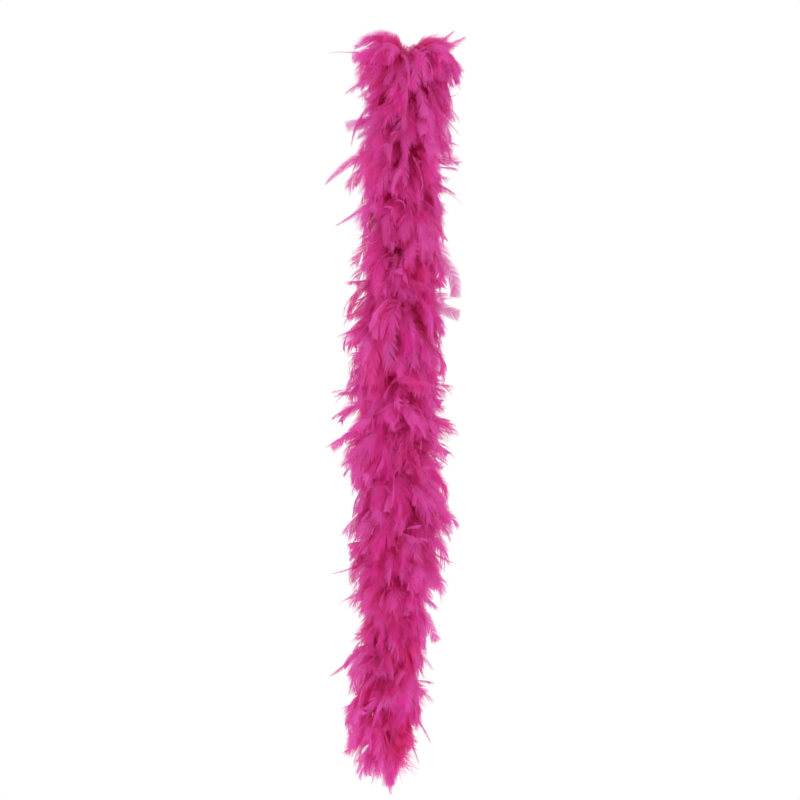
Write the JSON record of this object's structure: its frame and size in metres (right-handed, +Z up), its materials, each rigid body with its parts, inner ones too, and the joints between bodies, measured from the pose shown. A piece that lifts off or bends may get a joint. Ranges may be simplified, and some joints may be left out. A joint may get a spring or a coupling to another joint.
{
  "type": "feather boa",
  "caption": "Fluffy magenta feather boa hung by one end: whorls of drooping dyed feathers bound with thread round a bending cotton core cord, with a string hang loop.",
  "frame": {"origin": "the point inside the top of the hang loop where it bears on its hook", "axes": "+Z up along the hanging boa, -Y towards the viewer, +X to the viewer's right"},
  "size_m": [0.3262, 0.2762, 1.8032],
  "materials": {
    "feather": "matte",
    "down": "matte",
    "core_cord": "matte",
    "binding_thread": "matte"
  },
  "bodies": {
    "segment_01": {"core_cord_01": "core_cord", "feather_whorl_01": "feather", "binding_thread_01": "binding_thread", "down_tuft_01": "down", "hang_loop": "core_cord", "top_whipping": "binding_thread"},
    "segment_02": {"core_cord_02": "core_cord", "feather_whorl_02": "feather", "binding_thread_02": "binding_thread", "down_tuft_02": "down"},
    "segment_03": {"core_cord_03": "core_cord", "feather_whorl_03": "feather", "binding_thread_03": "binding_thread", "down_tuft_03": "down"},
    "segment_04": {"core_cord_04": "core_cord", "feather_whorl_04": "feather", "binding_thread_04": "binding_thread", "down_tuft_04": "down"},
    "segment_05": {"core_cord_05": "core_cord", "feather_whorl_05": "feather", "binding_thread_05": "binding_thread", "down_tuft_05": "down"},
    "segment_06": {"core_cord_06": "core_cord", "feather_whorl_06": "feather", "binding_thread_06": "binding_thread", "down_tuft_06": "down"},
    "segment_07": {"core_cord_07": "core_cord", "feather_whorl_07": "feather", "binding_thread_07": "binding_thread", "down_tuft_07": "down"},
    "segment_08": {"core_cord_08": "core_cord", "feather_whorl_08": "feather", "binding_thread_08": "binding_thread", "down_tuft_08": "down"},
    "segment_09": {"core_cord_09": "core_cord", "feather_whorl_09": "feather", "binding_thread_09": "binding_thread", "down_tuft_09": "down"},
    "segment_10": {"core_cord_10": "core_cord", "feather_whorl_10": "feather", "binding_thread_10": "binding_thread", "down_tuft_10": "down"},
    "segment_11": {"core_cord_11": "core_cord", "feather_whorl_11": "feather", "binding_thread_11": "binding_thread", "down_tuft_11": "down"},
    "segment_12": {"core_cord_12": "core_cord", "feather_whorl_12": "feather", "binding_thread_12": "binding_thread", "down_tuft_12": "down"},
    "segment_13": {"core_cord_13": "core_cord", "feather_whorl_13": "feather", "binding_thread_13": "binding_thread", "down_tuft_13": "down", "end_knot": "core_cord"}
  },
  "joints": [
    {"name": "bend_02_x", "type": "hinge", "parent": "segment_01", "child": "segment_02", "pos_m": [0, 0, -0.159], "axis": [1, 0, 0], "range_deg": [-45, 45], "deforming": ["feather_whorl_01"]},
    {"name": "bend_03_y", "type": "hinge", "parent": "segment_02", "child": "segment_03", "pos_m": [0, 0, -0.29], "axis": [0, 1, 0], "range_deg": [-45, 45], "deforming": ["feather_whorl_02"]},
    {"name": "bend_04_x", "type": "hinge", "parent": "segment_03", "child": "segment_04", "pos_m": [0, 0, -0.421], "axis": [-1, 0, 0], "range_deg": [-45, 45], "deforming": ["feather_whorl_03"]},
    {"name": "bend_05_y", "type": "hinge", "parent": "segment_04", "child": "segment_05", "pos_m": [0, 0, -0.552], "axis": [0, -1, 0], "range_deg": [-45, 45], "deforming": ["feather_whorl_04"]},
    {"name": "bend_06_x", "type": "hinge", "parent": "segment_05", "child": "segment_06", "pos_m": [0, 0, -0.683], "axis": [1, 0, 0], "range_deg": [-45, 45], "deforming": ["feather_whorl_05"]},
    {"name": "bend_07_y", "type": "hinge", "parent": "segment_06", "child": "segment_07", "pos_m": [0, 0, -0.814], "axis": [0, 1, 0], "range_deg": [-45, 45], "deforming": ["feather_whorl_06"]},
    {"name": "bend_08_x", "type": "hinge", "parent": "segment_07", "child": "segment_08", "pos_m": [0, 0, -0.945], "axis": [-1, 0, 0], "range_deg": [-45, 45], "deforming": ["feather_whorl_07"]},
    {"name": "bend_09_y", "type": "hinge", "parent": "segment_08", "child": "segment_09", "pos_m": [0, 0, -1.076], "axis": [0, -1, 0], "range_deg": [-45, 45], "deforming": ["feather_whorl_08"]},
    {"name": "bend_10_x", "type": "hinge", "parent": "segment_09", "child": "segment_10", "pos_m": [0, 0, -1.207], "axis": [1, 0, 0], "range_deg": [-45, 45], "deforming": ["feather_whorl_09"]},
    {"name": "bend_11_y", "type": "hinge", "parent": "segment_10", "child": "segment_11", "pos_m": [0, 0, -1.338], "axis": [0, 1, 0], "range_deg": [-45, 45], "deforming": ["feather_whorl_10"]},
    {"name": "bend_12_x", "type": "hinge", "parent": "segment_11", "child": "segment_12", "pos_m": [0, 0, -1.469], "axis": [-1, 0, 0], "range_deg": [-45, 45], "deforming": ["feather_whorl_11"]},
    {"name": "bend_13_y", "type": "hinge", "parent": "segment_12", "child": "segment_13", "pos_m": [0, 0, -1.6], "axis": [0, -1, 0], "range_deg": [-45, 45], "deforming": ["feather_whorl_12", "feather_whorl_13"]}
  ]
}
